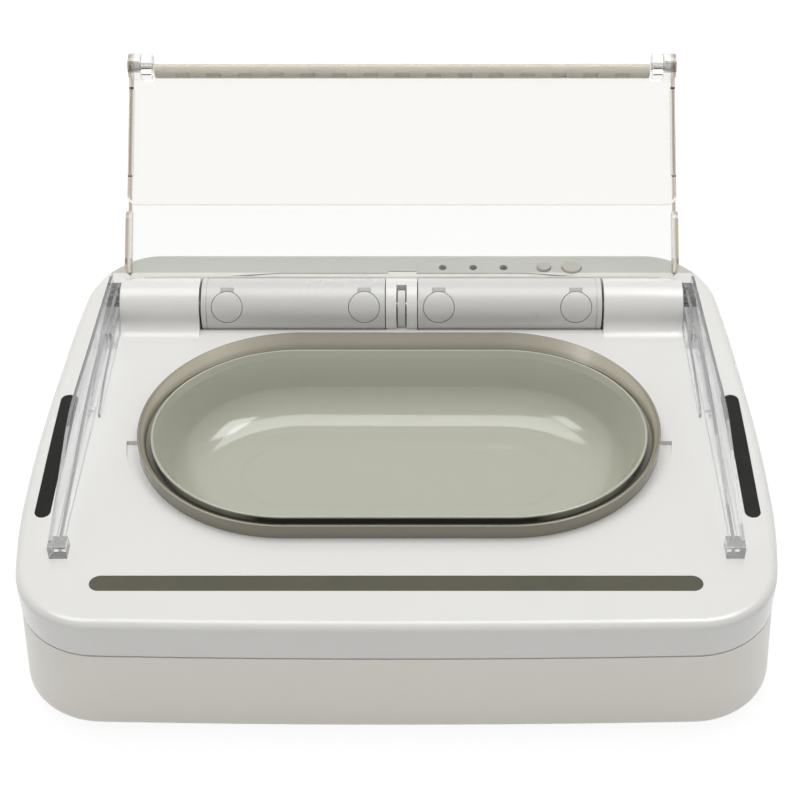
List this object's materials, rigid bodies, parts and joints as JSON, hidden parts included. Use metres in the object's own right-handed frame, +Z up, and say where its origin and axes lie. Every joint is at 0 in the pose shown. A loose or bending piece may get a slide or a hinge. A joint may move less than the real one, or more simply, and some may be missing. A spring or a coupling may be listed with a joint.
{
  "type": "microchip pet feeder",
  "caption": "Automatic pet feeder: a tray-like case with a lift-out oval bowl, a motor-driven clear folding lid, clear side walls and infrared windows.",
  "frame": {"origin": "on the floor under the middle of the whole assembly with the lid open", "axes": "+X to the user's right, -Y towards the animal, +Z up"},
  "size_m": [0.3432, 0.312, 0.1684],
  "materials": {
    "shell_upper": "gloss",
    "shell_lower": "satin",
    "collar": "gloss",
    "bowl": "gloss",
    "window": "gloss",
    "clear": "clear gloss",
    "hinge": "satin",
    "seal": "satin",
    "rubber": "matte",
    "board": "satin",
    "component": "matte",
    "lens": "clear gloss",
    "button": "satin",
    "copper": "satin",
    "bronze": "satin",
    "steel": "satin",
    "gear": "satin",
    "cell": "gloss"
  },
  "bodies": {
    "base": {"lower_shell": "shell_lower", "upper_shell": "shell_upper", "bowl_well": "shell_upper", "bowl_collar": "collar", "antenna_coil": "copper", "front_window": "window", "left_window": "window", "right_window": "window", "front_sensor_board": "board", "left_sensor_board": "board", "right_sensor_board": "board", "infrared_emitters": "window", "left_side_wall": "clear", "right_side_wall": "clear", "main_board": "board", "main_board_parts": "component", "control_board": "board", "control_board_parts": "component", "indicator_lenses": "lens", "hinge_end_bushes": "bronze", "hinge_centre_web": "hinge", "reduction_axle": "steel", "motor": "steel", "gear_bracket": "gear", "battery_box": "shell_lower", "battery_cells": "cell", "battery_contacts": "steel", "case_screws": "steel", "rubber_feet": "rubber"},
    "lid": {"hub_shaft": "steel", "lid_hub_left": "hinge", "lid_hub_right": "hinge", "hub_screws": "steel", "hub_screw_plugs": "hinge", "lid_rear_panel": "clear", "lid_seal_strip": "seal", "flap_hinge_pins": "steel", "drive_gear": "gear"},
    "flap": {"lid_front_flap": "clear"},
    "double_gear": {"reduction_gear": "gear"},
    "motor_shaft": {"motor_pinion": "bronze"},
    "bowl": {"food_bowl": "bowl"},
    "small_key": {"small_button": "button"},
    "large_key": {"large_button": "button"},
    "door": {"battery_door": "shell_lower"}
  },
  "joints": [
    {"name": "lid_swing", "type": "hinge", "parent": "base", "child": "lid", "pos_m": [0, 0.06054, 0.073], "axis": [1, 0, 0], "range_deg": [0, 125]},
    {"name": "flap_fold", "type": "hinge", "parent": "lid", "child": "flap", "pos_m": [0, 0.14921, 0.16167], "axis": [-1, 0, 0], "range_deg": [0, 147.6]},
    {"name": "double_gear_spin", "type": "hinge", "parent": "base", "child": "double_gear", "pos_m": [0.113, 0.06601, 0.05797], "axis": [1, 0, 0], "range_deg": [-232.24, 0]},
    {"name": "motor_spin", "type": "hinge", "parent": "base", "child": "motor_shaft", "pos_m": [0.113, 0.06006, 0.0372], "axis": [1, 0, 0], "range_deg": [0, 663.37]},
    {"name": "bowl_lift", "type": "slide", "parent": "base", "child": "bowl", "axis": [0, 0, 1], "range_m": [0, 0.065]},
    {"name": "small_key_press", "type": "slide", "parent": "base", "child": "small_key", "axis": [0, 0, -1], "range_m": [0, 0.0008], "stiffness_N_per_m": 600, "springref_m": -0.0003},
    {"name": "large_key_press", "type": "slide", "parent": "base", "child": "large_key", "axis": [0, 0, -1], "range_m": [0, 0.0008], "stiffness_N_per_m": 600, "springref_m": -0.0003},
    {"name": "door_slide", "type": "slide", "parent": "base", "child": "door", "axis": [0, -1, 0], "range_m": [0, 0.01]}
  ],
  "couplings": [
    {"joint": "flap_fold", "follows": "lid_swing", "ratio": 1.1808},
    {"joint": "double_gear_spin", "follows": "lid_swing", "ratio": -1.8571},
    {"joint": "motor_spin", "follows": "lid_swing", "ratio": 5.3061}
  ]
}
